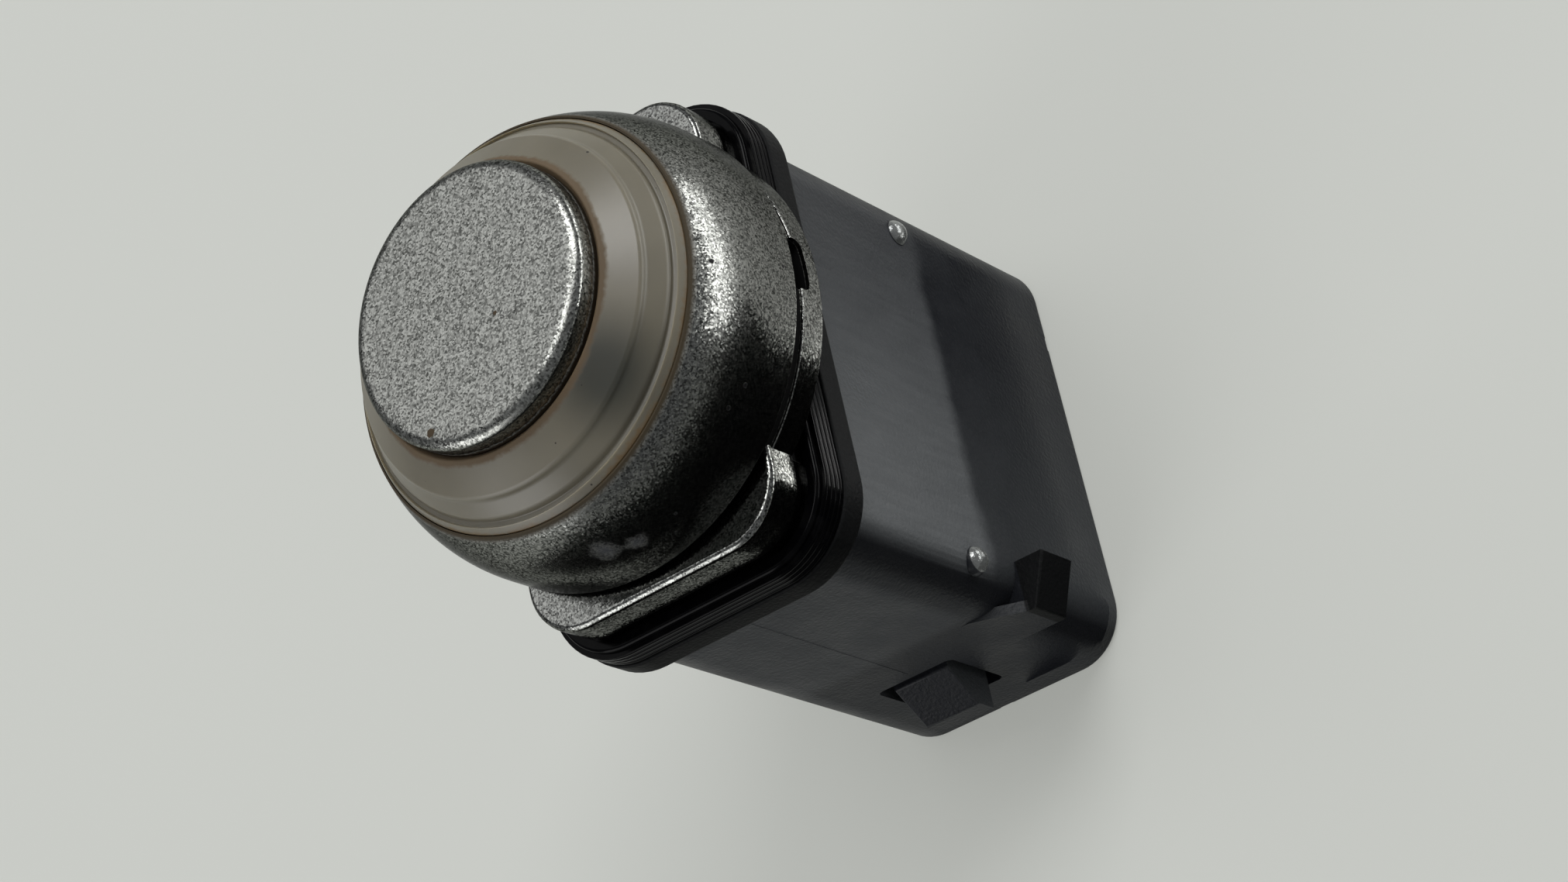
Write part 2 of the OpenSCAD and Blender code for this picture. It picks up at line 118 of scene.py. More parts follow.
# Light: a key lamp overhead, soft boxes at the right rear, the left rear and the front left, a low strip
# at the right, and a dim room. A lamp has its place and size in millimetres, and its power in watts.
lamps = {
    "low_strip": ((181, 59, 14), (230, 24), 0.12),
    "back_box": ((294, 364, 560), (360, 300), 2.4),
    "top_box": ((-315, 294, 588), (620, 620), 0.92),
    "key_lamp": ((35, 105, 730), (280, 280), 0.9),
    "left_box": ((-390, -410, 240), (420, 400), 1.3),
}
aim = Vector((0, 0, 22))
for name, (spot, size, power) in lamps.items():
    lamp_data = bpy.data.lights.new(name, "AREA")
    lamp_data.shape = "RECTANGLE"
    lamp_data.size = size[0] * MM
    lamp_data.size_y = size[1] * MM
    lamp_data.energy = power
    lamp = bpy.data.objects.new(name, lamp_data)
    bpy.context.collection.objects.link(lamp)
    lamp.location = Vector(spot) * MM
    lamp.rotation_euler = (aim - Vector(spot)).to_track_quat("-Z", "Y").to_euler()
# The strip lights the part alone, so that the table top doesn't glare beside it.
unlit = bpy.data.collections.new("not_lit_by_low_strip")
unlit.objects.link(floor)
unlit.collection_objects[0].light_linking.link_state = "EXCLUDE"
bpy.data.objects["low_strip"].light_linking.receiver_collection = unlit
world = bpy.data.worlds.new("bright_room")
world.use_nodes = True
world.node_tree.nodes["Background"].inputs["Color"].default_value = tint("#f2f5f8")
world.node_tree.nodes["Background"].inputs["Strength"].default_value = 0.2
bpy.context.scene.world = world

# Cards on the table beside the part show only in reflections, and shape the shine of its paint. The white
# and grey cards glow and are painted reflections of light; the dark cards are painted shade in the
# reflections, and the one at the part's foot stands in for its contact shadow.
# A card has its colour, its glow, its height above the table and its outline, in millimetres.
cards = {
    "dark_card": ("#0c0c0c", 0.0, 1, [
        (6, -13), (12, -30), (-64, -33), (-190, -320), (200, -320), (260, -80), (150, 10), (60, -4),
        (10, -6)]),
    # Painted contact shadow beside the part's foot, seen only in reflections.
    "contact_shade_card": ("#0c0c0c", 0.0, 2, [
        (2, -12.5), (9, -12.5), (9, 14), (22, 26), (23, 2), (18, -17), (5, -15)]),
    "grey_card": ("#8c8c8a", 1.2, 1, [
        (10, -4), (60, -2), (150, 12), (220, 120), (150, 230), (60, 200), (30, 80), (10, 20)]),
    "white_card": ("#f4f4f2", 4.5, 3, [
        (22, 9), (26.5, 7.5), (30, -1), (30, -4), (26.5, -4), (25, 0), (22, 4)]),
}
for name, (colour, strength, height, outline) in cards.items():
    board, tree, shader, place = start_material(name + "_board", 0.9)
    shader.inputs["Base Color"].default_value = tint(colour)
    shader.inputs["Specular IOR Level"].default_value = 0.0
    shader.inputs["Emission Color"].default_value = tint(colour)
    shader.inputs["Emission Strength"].default_value = strength
    form = bmesh.new()
    form.faces.new([form.verts.new((x * MM, y * MM, height * MM)) for x, y in outline])
    card_mesh = bpy.data.meshes.new(name)
    form.to_mesh(card_mesh)
    form.free()
    card_mesh.materials.append(board)
    card = bpy.data.objects.new(name, card_mesh)
    bpy.context.collection.objects.link(card)
    card.visible_camera = False
    card.visible_shadow = False
    card.visible_diffuse = False


# Housing: the black box of glass-filled nylon that holds the electronics, injection moulded in one shot.
# Its flange carries the seal, and its teeth and wedges snap into the bracket behind the bumper.
def solid(form, name="tool"):
    """Turns a form in millimetres into an object."""
    bmesh.ops.remove_doubles(form, verts=form.verts, dist=0.0005)
    bmesh.ops.recalc_face_normals(form, faces=form.faces)
    mesh = bpy.data.meshes.new(name)
    form.to_mesh(mesh)
    form.free()
    piece = bpy.data.objects.new(name, mesh)
    bpy.context.collection.objects.link(piece)
    return piece


def combine(piece, form, operation="UNION"):
    """Adds a form to a piece, or cuts it away; forms to be joined overlap by a few tenths."""
    tool = solid(form)
    step = piece.modifiers.new("step", "BOOLEAN")
    step.object = tool
    step.operation = operation
    step.solver = "MANIFOLD"
    mesh = bpy.data.meshes.new_from_object(piece.evaluated_get(bpy.context.evaluated_depsgraph_get()))
    piece.modifiers.clear()
    piece.data = mesh
    bpy.data.objects.remove(tool)


def soften(form, picked, size, segments=3):
    """Rounds the edges whose two ends fit the test."""
    edges = [edge for edge in form.edges if picked(*(vert.co for vert in edge.verts))]
    bmesh.ops.bevel(form, geom=edges, offset=size, offset_type="OFFSET", affect="EDGES",
                    segments=segments, profile=0.5, material=-1)


def block(low, high):
    """Plain block between two corners."""
    form = bmesh.new()
    bmesh.ops.create_cube(form, size=1)
    bmesh.ops.scale(form, vec=Vector(high) - Vector(low), verts=form.verts)
    bmesh.ops.translate(form, vec=(Vector(high) + Vector(low)) / 2, verts=form.verts)
    return form


def plate(half, corner, z0, z1, rear_round=0, front_round=0):
    """Block with four round upright edges and softened rims."""
    form = block((-half[0], -half[1], z0), (half[0], half[1], z1))
    soften(form, lambda a, b: abs(a.z - b.z) > 0.001, corner, 14)
    for z, size in ((z0, rear_round), (z1, front_round)):
        if size:
            soften(form, lambda a, b: abs(a.z - z) < 0.001 and abs(b.z - z) < 0.001, size)
    return form


def inset(half, distance):
    """Half widths of an outline that lies inside another one."""
    return half[0] - distance, half[1] - distance


def prism(outline, thickness):
    """Extrudes a flat outline along thickness."""
    form = bmesh.new()
    face = form.faces.new([form.verts.new(point) for point in outline])
    grown = bmesh.ops.extrude_face_region(form, geom=[face])["geom"]
    moved = [part for part in grown if isinstance(part, bmesh.types.BMVert)]
    bmesh.ops.translate(form, vec=thickness, verts=moved)
    return form


def lathe(section, rounds=None, steps=160):
    """Spins a closed half section about the sensing axis; rounds gives the radius at a corner's index."""
    form = bmesh.new()
    corners = [form.verts.new((r, 0, z)) for r, z in section]
    for pair in zip(corners, corners[1:] + corners[:1]):
        form.edges.new(pair)
    for index, size in (rounds or {}).items():
        bmesh.ops.bevel(form, geom=[corners[index]], offset=size, offset_type="OFFSET", affect="VERTICES",
                        segments=8, profile=0.5, material=-1)
    bmesh.ops.spin(form, geom=form.verts[:] + form.edges[:], axis=(0, 0, 1), cent=(0, 0, 0),
                   angle=math.tau, steps=steps, use_merge=True)
    return form


def bar(radius, z0, z1):
    """Round bar on the sensing axis."""
    return lathe([(0, z0), (radius, z0), (radius, z1), (0, z1)])


def turned(form, angle):
    """Turns a form about the sensing axis."""
    bmesh.ops.rotate(form, cent=(0, 0, 0), matrix=Matrix.Rotation(angle, 3, "Z"), verts=form.verts)
    return form


def dress(piece, material, node):
    """Brings a finished piece to metres, shades it, and puts it in the place of its node."""
    piece.data.transform(Matrix.Scale(MM, 4))
    piece.data.materials.clear()
    piece.data.materials.append(material)
    piece.data.shade_smooth()
    piece.data.set_sharp_from_angle(angle=math.radians(32))
    piece.modifiers.new("even_shading", "WEIGHTED_NORMAL").keep_sharp = True
    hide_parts(node)
    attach(piece, "root")


def rear_of(node):
    """Height of a node's rear end, in millimetres."""
    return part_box(node)[0][2] / MM


def front_of(node):
    """Height of a node's front end, in millimetres."""
    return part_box(node)[1][2] / MM


def reach_of(node):
    """Largest reach of a node along X, in millimetres."""
    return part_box(node)[1][0] / MM


def cover(tree, shader, mask, finish):
    """Lays another finish over a shader's own one where the mask is 1."""
    for name, value in finish.items():
        socket = shader.inputs[name]
        under = socket.links[0].from_socket if socket.is_linked else socket.default_value
        kind, a, b, out = ("RGBA", 6, 7, 2) if name == "Base Color" else ("FLOAT", 2, 3, 0)
        mixed = add(tree, "Mix", {0: mask, a: under, b: value}, data_type=kind)
        tree.links.new(mixed.outputs[out], socket)


z_seal = rear_of("flange_seal")
z_skirt = rear_of("base_frame")
body_half = (7.74, 12.52)
body_corner = 3.03
body_wall = 1.4
flange_half = (9.04, 13.62)
flange_corner = 4.4
flange_thick = 1.6
web_thick = 0.9
z_flange = z_seal - flange_thick
z_web = z_flange - web_thick
cup_radius = reach_of("membrane_cup")
neck_room = 0.55
neck_wall = 0.6
neck_floor = 0.8
neck_gap = 0.05
foot_step = 0.9
lead_hole = 2.6
body_round = 0.3
flange_rear_round, flange_front_round = 0.25, 0.15
neck_bore = cup_radius + neck_room
neck_radius = neck_bore + neck_wall
foot_radius = neck_radius - foot_step
z_neck = front_of("flange_seal") + neck_gap
z_neck_floor = z_neck + neck_floor
z_neck_top = front_of("housing")
housing = solid(plate(body_half, body_corner, 0, z_flange + 0.1, body_round), "housing")
combine(housing, plate(flange_half, flange_corner, z_flange, z_seal, flange_rear_round, flange_front_round))
combine(housing, lathe([
    (lead_hole, z_seal - 0.3), (foot_radius, z_seal - 0.3), (foot_radius, z_neck), (neck_radius, z_neck),
    (neck_radius, z_neck_top), (neck_bore, z_neck_top), (neck_bore, z_neck_floor),
    (lead_hole, z_neck_floor)]))
combine(housing, plate(inset(body_half, body_wall), body_corner - body_wall, -1, z_web), "DIFFERENCE")
combine(housing, bar(lead_hole, z_web - 1, z_neck), "DIFFERENCE")

# The corner tooth leans out from its corner, and a thin gusset runs out in front of it. The wedge latch is
# a ramp that rises towards the rear in a recess. Both have a twin half a turn away, as have the round pips
# and the fine seam that the halves of the mould left on the narrow sides.
tooth_rear, tooth_front = 7.4, 10.3
tooth_width = 2.9
tooth_reach = 0.66
tooth_lean = 1.2
tooth_round = 0.15
gusset_length = 1.8
gusset_width = 0.5
gusset_thick = 0.6
wedge_x = -0.6
wedge_width = 3.6
wedge_reach = 1.7
wedge_rear, wedge_tip, wedge_front = 4.6, 6.0, 8.4
wedge_round = 0.12
recess_depth = 0.8
recess_room = 0.7
recess_corner = 0.4
pip_radius = 0.8
pip_reach = 0.55
pip_rows = (9.45, -10.35)
pip_z = 14.0
seam_width = 0.14
seam_height = 0.02
rim_notches = (((body_half[0], 6.7), (0.5, 0.9)), ((-0.5, -body_half[1]), (0.9, 0.5)))
notch_depth = 0.3
guide_width = 1.2
guide_thick = 0.8
guide_rear = 11.6
board_face = 0.32
board_thick = 1.2
slide_room = 0.1
edge_x = body_half[0] - body_corner
side_y = -body_half[1]
tip_x = body_half[0] + tooth_reach
wedge_low_x = wedge_x - wedge_width / 2
wedge_high_x = wedge_x + wedge_width / 2
inner_y = side_y + recess_depth + 0.2
for angle in (0, math.pi):
    tooth = prism([(edge_x, side_y, tooth_rear), (tip_x, side_y, tooth_rear),
                   (tip_x + tooth_lean, side_y + tooth_width, tooth_rear),
                   (edge_x, side_y + tooth_width, tooth_rear)], (0, 0, tooth_front - tooth_rear))
    soften(tooth, lambda a, b: min(a.x, b.x) > edge_x + 0.1, tooth_round)
    combine(housing, turned(tooth, angle))
    gusset = prism([(edge_x, side_y, tooth_front - 0.2), (tip_x - 0.15, side_y, tooth_front - 0.2),
                    (edge_x + gusset_width, side_y, tooth_front + gusset_length),
                    (edge_x, side_y, tooth_front + gusset_length)], (0, gusset_thick, 0))
    combine(housing, turned(gusset, angle))
    recess = block((wedge_low_x - recess_room, side_y - 1, wedge_rear - recess_room),
                   (wedge_high_x + recess_room, side_y + recess_depth, wedge_front + recess_room))
    soften(recess, lambda a, b: abs(a.y - b.y) > 0.1, recess_corner)
    combine(housing, turned(recess, angle), "DIFFERENCE")
    wedge = prism([(wedge_low_x, inner_y, wedge_rear), (wedge_low_x, side_y - wedge_reach, wedge_rear),
                   (wedge_low_x, side_y - wedge_reach, wedge_tip), (wedge_low_x, side_y, wedge_front),
                   (wedge_low_x, inner_y, wedge_front)], (wedge_width, 0, 0))
    soften(wedge, lambda a, b: max(a.y, b.y) < side_y + 0.1 and a.z > wedge_rear + 0.1, wedge_round)
    combine(housing, turned(wedge, angle))
    for row in pip_rows:
        pip = bmesh.new()
        bmesh.ops.create_uvsphere(pip, u_segments=24, v_segments=16, radius=pip_radius)
        bmesh.ops.translate(pip, vec=(body_half[0] + pip_reach - pip_radius, row, pip_z), verts=pip.verts)
        combine(housing, turned(pip, angle))
    seam = block((wedge_x - seam_width / 2, side_y - seam_height, wedge_front + recess_room + 0.6),
                 (wedge_x + seam_width / 2, side_y + 0.1, z_flange + 0.1))
    combine(housing, turned(seam, angle))
    for (x, y), (across_x, across_y) in rim_notches:
        notch = block((x - across_x / 2, y - across_y / 2, -1),
                      (x + across_x / 2, y + across_y / 2, notch_depth))
        combine(housing, turned(notch, angle), "DIFFERENCE")
for end in (-1, 1):
    for x in (board_face - slide_room - guide_thick, board_face + board_thick + slide_room):
        y = sorted((end * (body_half[1] - body_wall - guide_width), end * (body_half[1] - body_wall + 0.2)))
        combine(housing, block((x, y[0], guide_rear), (x + guide_thick, y[1], z_web + 0.2)))

# Black nylon from an etched mould: a satin skin with fine grain. The bracket has rubbed the front half grey
# and streaky, and that grey is painted lighter towards one end of the wide sides, which is painted sheen.
# The rear half is darker and smoother, with painted sheen towards the same end. The round corners are
# painted darker as painted shade and dark reflection, the teeth and the flange are painted near black as
# painted shade, and the pips are rubbed bright.
cloud_size = 2.6
streak_width = 0.4
streak_stretch = 0.1
grain_width = 0.2
grain_depth = 0.05
wear_wave = 1.5
wear_start, wear_full = 12.6, 14.2
sheen_far_end, sheen_near_end = 0.2, 1.0
narrow_side_share = 0.84
rear_sheen_from = 4
nylon, tree, shader, place = start_material("moulded_black_nylon", 0.45)
shader.inputs["Specular IOR Level"].default_value = 0.14
axes = add(tree, "SeparateXYZ", {0: place}).outputs
height = axes["Z"]
normal = add(tree, "NewGeometry").outputs["Normal"]
facing = add(tree, "VectorMath", {0: normal}, operation="ABSOLUTE").outputs[0]
facing = add(tree, "SeparateXYZ", {0: facing}).outputs
cloud = add(tree, "TexNoise", {"Vector": place, "Scale": 1 / (cloud_size * MM), "Detail": 4}).outputs["Fac"]
drawn = add(tree, "Mapping", {"Vector": place, "Scale": (1, 1, streak_stretch)}).outputs[0]
streaks = add(tree, "TexNoise", {"Vector": drawn, "Scale": 1 / (streak_width * MM),
                                 "Detail": 3}).outputs["Fac"]
wavy = add(tree, "Math", {0: cloud, 1: wear_wave * MM, 2: height}, operation="MULTIPLY_ADD").outputs[0]
front_half = add(tree, "MapRange", {0: wavy, 1: wear_start * MM, 2: wear_full * MM},
                 interpolation_type="SMOOTHSTEP").outputs[0]
narrow = add(tree, "Math", {0: facing["Y"], 1: narrow_side_share}, operation="MULTIPLY").outputs[0]
squarely = add(tree, "Math", {0: facing["X"], 1: narrow}, operation="MAXIMUM").outputs[0]
flat = add(tree, "MapRange", {0: squarely, 1: 0.8, 2: 0.99}).outputs[0]
below = add(tree, "MapRange", {0: height, 1: (z_flange - 0.2) * MM, 2: (z_flange - 1.4) * MM}).outputs[0]
# The rubbed grey is painted lighter towards the -Y end of the wide sides, which is painted sheen.
painted_sheen_fade = add(tree, "MapRange", {0: axes["Y"], 1: body_half[1] * MM, 2: -body_half[1] * MM,
                                3: sheen_far_end, 4: sheen_near_end}).outputs[0]
worn = front_half
for mask in (flat, below, painted_sheen_fade):
    worn = add(tree, "Math", {0: worn, 1: mask}, operation="MULTIPLY").outputs[0]
rubbed = add(tree, "Mix", {0: streaks, 6: tint("#505254"), 7: tint("#646668")}, data_type="RGBA").outputs[2]
smudged = add(tree, "Mix", {0: cloud, 6: tint("#15161a"), 7: tint("#24262a")}, data_type="RGBA").outputs[2]
# The dark rear tone is painted lighter towards -Y on the faces that look along X, which is painted sheen.
painted_rear_sheen = add(tree, "MapRange", {0: axes["Y"], 1: rear_sheen_from * MM, 2: -body_half[1] * MM}).outputs[0]
painted_rear_sheen = add(tree, "Math", {0: painted_rear_sheen, 1: facing["X"]}, operation="MULTIPLY").outputs[0]
smudged = add(tree, "Mix", {0: painted_rear_sheen, 6: smudged, 7: tint("#36383a")}, data_type="RGBA").outputs[2]
tone = add(tree, "Mix", {0: worn, 6: smudged, 7: rubbed}, data_type="RGBA").outputs[2]
tree.links.new(tone, shader.inputs["Base Color"])
sheen = add(tree, "MapRange", {0: cloud, 1: 0.3, 2: 0.7, 3: 0.36, 4: 0.5}).outputs[0]
tree.links.new(sheen, shader.inputs["Roughness"])
grain = add(tree, "TexNoise", {"Vector": place, "Scale": 1 / (grain_width * MM),
                               "Detail": 2}).outputs["Fac"]
bump = add(tree, "Bump", {"Height": grain, "Strength": 0.8, "Distance": grain_depth * MM}).outputs[0]
tree.links.new(bump, shader.inputs["Normal"])
# The round corners are painted darker, which is painted shade and painted dark reflection.
upright = add(tree, "Math", {0: facing["X"], 1: facing["Y"]}, operation="MAXIMUM").outputs[0]
painted_corner_shade = add(tree, "MapRange", {0: upright, 1: 0.98, 2: 0.8}).outputs[0]
sideways = add(tree, "MapRange", {0: facing["Z"], 1: 0.3, 2: 0.1}).outputs[0]
painted_corner_shade = add(tree, "Math", {0: painted_corner_shade, 1: sideways}, operation="MULTIPLY").outputs[0]
cover(tree, shader, painted_corner_shade, {"Base Color": tint("#18191c")})
# The flange and all above it are painted near black and matt, which is painted shade.
painted_flange_shade = add(tree, "MapRange", {0: height, 1: (z_flange - 0.1) * MM, 2: (z_flange + 0.1) * MM}).outputs[0]
cover(tree, shader, painted_flange_shade, {"Base Color": tint("#060708"), "Roughness": 0.6})
# What stands out beyond the wide sides, the corner teeth most, is painted near black as painted shade; the
# pips take their own grey finish below.
across = add(tree, "Math", {0: axes["X"]}, operation="ABSOLUTE").outputs[0]
proud = add(tree, "MapRange", {0: across, 1: (body_half[0] + 0.03) * MM,
                               2: (body_half[0] + 0.1) * MM}).outputs[0]
cover(tree, shader, proud, {"Base Color": tint("#0b0c0d"), "Roughness": 0.6})
level = add(tree, "Math", {0: height, 1: pip_z * MM, 2: pip_radius * MM}, operation="COMPARE").outputs[0]
polished = add(tree, "Math", {0: proud, 1: level}, operation="MULTIPLY").outputs[0]
cover(tree, shader, polished, {"Base Color": tint("#8f9190"), "Metallic": 0.7, "Roughness": 0.2})
dress(housing, nylon, "housing")

# Flange seal: a ring of black rubber with fine ribs around its edge and a raised bead,
# pressed between the flange and the painted frame.
seal_half = (8.92, 13.5)
seal_corner = 4.28
bead_in = 0.3
bead_width = 0.6
bead_round = 0.22
z_bead = front_of("flange_seal")
rib_count = 4
rib_groove = 0.045
rib_gap = 0.06
rib_round = 0.1
foot_room = 0.05
rib_step = (z_skirt - z_seal) / rib_count
seal = solid(plate(inset(seal_half, rib_groove), seal_corner - rib_groove, z_seal, z_skirt), "flange_seal")
for rib in range(rib_count):
    z = z_seal + rib * rib_step + rib_gap / 2
    combine(seal, plate(seal_half, seal_corner, z, z + rib_step - rib_gap, rib_round, rib_round))
combine(seal, plate(inset(seal_half, bead_in), seal_corner - bead_in, z_skirt - 0.2, z_bead, 0, bead_round))
bead_inner = bead_in + bead_width
combine(seal, plate(inset(seal_half, bead_inner), seal_corner - bead_inner, z_skirt, z_bead + 1),
        "DIFFERENCE")
combine(seal, bar(foot_radius + foot_room, z_seal - 1, z_skirt + 1), "DIFFERENCE")
# Black rubber, moulded smooth: nearly black, with soft clear highlights and a trace of dust.
dust_size = 1.2
rubber, tree, shader, place = start_material("moulded_black_rubber", 0.15)
shader.inputs["Specular IOR Level"].default_value = 0.06
dust = add(tree, "TexNoise", {"Vector": place, "Scale": 1 / (dust_size * MM), "Detail": 5}).outputs["Fac"]
dusty = add(tree, "MapRange", {0: dust, 1: 0.5, 2: 0.8}).outputs[0]
tone = add(tree, "Mix", {0: dusty, 6: tint("#040405"), 7: tint("#0e0e0f")}, data_type="RGBA").outputs[2]
tree.links.new(tone, shader.inputs["Base Color"])
dress(seal, rubber, "flange_seal")


# Frame: a plate of black plastic with round shoulders, moulded in one with the tube that carries the trim.
# Only what shows is painted silver, so the slit and the snap windows stay black. The rebate wall in the
# slit is painted near black and matt as well, which is painted shade.
def from_axis(tree, place):
    """Distance from the sensing axis."""
    flat = add(tree, "VectorMath", {0: place, 1: (1, 1, 0)}, operation="MULTIPLY").outputs[0]
    return add(tree, "VectorMath", {0: flat}, operation="LENGTH").outputs["Value"]


def silver_paint(name, dark, light, flake, lean, roughness):
    """Paint with metal flakes, their width in millimetres, each leaning its own way to catch the light."""
    material, tree, shader, place = start_material(name, roughness, 1.0)
    shader.inputs["Specular Tint"].default_value = tint("#9a9a9a")
    cells = add(tree, "TexVoronoi", {"Vector": place, "Scale": 1 / (flake * MM)}).outputs["Color"]
    pick = add(tree, "SeparateColor", {"Color": cells}).outputs["Red"]
    colour = add(tree, "Mix", {0: pick, 6: tint(dark), 7: tint(light)}, data_type="RGBA").outputs[2]
    tree.links.new(colour, shader.inputs["Base Color"])
    centred = add(tree, "VectorMath", {0: cells, 1: (0.5, 0.5, 0.5)}, operation="SUBTRACT").outputs[0]
    leaning = add(tree, "VectorMath", {0: centred, "Scale": lean}, operation="SCALE").outputs[0]
    normal = add(tree, "NewGeometry").outputs["Normal"]
    summed = add(tree, "VectorMath", {0: normal, 1: leaning}, operation="ADD").outputs[0]
    unit = add(tree, "VectorMath", {0: summed}, operation="NORMALIZE").outputs[0]
    tree.links.new(unit, shader.inputs["Normal"])
    return material, tree, shader, place


black_plastic = {"Base Color": tint("#0b0b0c"), "Metallic": 0.0, "Roughness": 0.5}
frame_half = (7.93, 12.65)
frame_corner = 3.28
skirt_in = 0.3
skirt_thick = 1.0
slit = 0.4
z_frame = z_skirt + skirt_thick
z_slit = rear_of("trim_ring") - slit
shoulder_radius = reach_of("base_frame")
spigot_radius = 10.65
z_spigot = front_of("base_frame")
rebate = 0.15
rebate_height = 0.44
z_rebate = z_slit - rebate_height
window_width = 2.9
window_height = 1.15
window_corner = 0.45
window_depth = 0.8
frame_rear_round, frame_front_round = 0.1, 0.35
shoulder_rounds = {1: 0.1, 2: 0.08}
base_frame = solid(plate(frame_half, frame_corner, z_frame, z_slit, frame_rear_round, frame_front_round),
                   "base_frame")
combine(base_frame, plate(inset(frame_half, skirt_in), frame_corner - skirt_in, z_skirt, z_frame + 0.3))
combine(base_frame, lathe([
    (0, z_frame), (shoulder_radius, z_frame), (shoulder_radius, z_rebate),
    (shoulder_radius - rebate, z_rebate), (shoulder_radius - rebate, z_slit), (0, z_slit)],
    shoulder_rounds))
combine(base_frame, bar(spigot_radius, z_frame + 0.5, z_spigot))
combine(base_frame, bar(neck_radius + slide_room, z_skirt - 1, z_spigot + 1), "DIFFERENCE")
for angle in (0, math.pi):
    window = block((shoulder_radius - window_depth, -window_width / 2, z_slit - window_height),
                   (shoulder_radius + 1, window_width / 2, z_slit + slit))
    soften(window, lambda a, b: abs(a.x - b.x) > 0.1 and a.z < z_slit, window_corner, 8)
    combine(base_frame, turned(window, angle), "DIFFERENCE")
# Silver paint under a clear coat: grey and white sparks from flakes that lie at slightly different angles.
# Real flakes are too fine to show, so here and on the trim and the cup they are drawn a little coarser.
paint_edge = 0.2
frame_paint, tree, shader, place = silver_paint(
    "silver_flake_paint_frame", "#424341", "#adaeaa", flake=0.085, lean=0.09, roughness=0.16)
radius = from_axis(tree, place)
bare = add(tree, "MapRange", {0: radius, 1: (shoulder_radius - paint_edge) * MM,
                              2: (shoulder_radius - paint_edge - 0.05) * MM}).outputs[0]
cover(tree, shader, bare, black_plastic)
height = add(tree, "SeparateXYZ", {0: place}).outputs["Z"]
# The rebate wall under the slit is painted near black and matt, which is painted shade.
high = add(tree, "Math", {0: height, 1: (z_rebate + 0.03) * MM}, operation="GREATER_THAN").outputs[0]
near = add(tree, "Math", {0: radius, 1: (shoulder_radius - rebate + 0.03) * MM},
           operation="LESS_THAN").outputs[0]
painted_slit_shade = add(tree, "Math", {0: high, 1: near}, operation="MULTIPLY").outputs[0]
cover(tree, shader, painted_slit_shade, {"Base Color": tint("#020202"), "Metallic": 0.0, "Roughness": 0.9})
dress(base_frame, frame_paint, "base_frame")


# Trim ring: the domed plastic ring that fills the hole in the bumper, painted like the car.
# It is pushed over the frame's tube, and stones have chipped its paint down to the black plastic.
def patch(tree, place, middle, radius, fade=0.15):
    """Mask that is 1 in a ragged patch around a point, in millimetres; fade is a share of its radius."""
    reach = radius * MM
    centre = Vector(middle) * MM
    ragged = add(tree, "TexNoise", {"Vector": place, "Scale": 1 / reach, "Detail": 3}).outputs["Fac"]
    away = add(tree, "VectorMath", {0: place, 1: centre}, operation="DISTANCE").outputs["Value"]
    edge = add(tree, "Math", {0: ragged, 1: reach, 2: away}, operation="MULTIPLY_ADD").outputs[0]
    return add(tree, "MapRange", {0: edge, 1: 1.5 * reach, 2: (1.5 - fade) * reach}).outputs[0]


trim_radius = reach_of("trim_ring")
z_trim = rear_of("trim_ring")
z_lip = front_of("trim_ring")
trim_straight = 1.7
trim_wall = 1.25
trim_edge = 0.1
trim_rounds = {1: 0.12}
lip_radius = 10.5
ring_flange = 1.4
z_ring_flange = z_lip - ring_flange
dome_rise = z_lip - z_trim - trim_straight
dome_sweep = 2 * math.atan((trim_radius - lip_radius - trim_edge) / dome_rise)
dome_radius = dome_rise / math.sin(dome_sweep)
dome_steps = 16
dome = []
for i in range(dome_steps + 1):
    a = dome_sweep * i / dome_steps
    dome.append((trim_radius - dome_radius * (1 - math.cos(a)),
                 z_trim + trim_straight + dome_radius * math.sin(a)))
trim_ring = solid(lathe([
    (trim_radius - trim_wall, z_trim), (trim_radius, z_trim), *dome, (lip_radius, z_lip),
    (lip_radius, z_ring_flange), (trim_radius - trim_wall, z_ring_flange)], trim_rounds), "trim_ring")
# The same paint, left off the edge at the slit. Brown grime lies along the joint with the soft ring, stones
# have left black chips, and a soft grey, duller patch lies on one side.
trim_paint, tree, shader, place = silver_paint(
    "silver_flake_paint_trim", "#424341", "#9d9e9a", flake=0.085, lean=0.11, roughness=0.22)
height = add(tree, "SeparateXYZ", {0: place}).outputs["Z"]
bare = add(tree, "MapRange", {0: height, 1: (z_trim + 0.06) * MM, 2: (z_trim + 0.03) * MM}).outputs[0]
cover(tree, shader, bare, black_plastic)
joint = add(tree, "MapRange", {0: from_axis(tree, place), 1: (lip_radius + 0.3) * MM,
                               2: (lip_radius + 0.15) * MM}).outputs[0]
cover(tree, shader, joint, {"Base Color": tint("#40382b"), "Metallic": 0.0, "Roughness": 0.7})
stone_chips = [((11.0, -1.75, 37.25), 0.14), ((9.6, -6.95, 34.6), 0.13), ((8.75, -7.9, 35.1), 0.12),
               ((11.9, -1.0, 32.7), 0.1), ((11.6, 2.6, 33.0), 0.12), ((4.1, -11.2, 34.4), 0.1)]
for middle, radius in stone_chips:
    cover(tree, shader, patch(tree, place, middle, radius), black_plastic)
grey_patches = [((0.4, -11.65, 35.3), 0.85), ((1.8, -11.5, 34.7), 0.75)]
grey_patch_fade = 0.9
for middle, radius in grey_patches:
    grey_patch = patch(tree, place, middle, radius, grey_patch_fade)
    cover(tree, shader, grey_patch, {"Base Color": tint("#45464a"), "Metallic": 0.4, "Roughness": 0.55})
dress(trim_ring, trim_paint, "trim_ring")

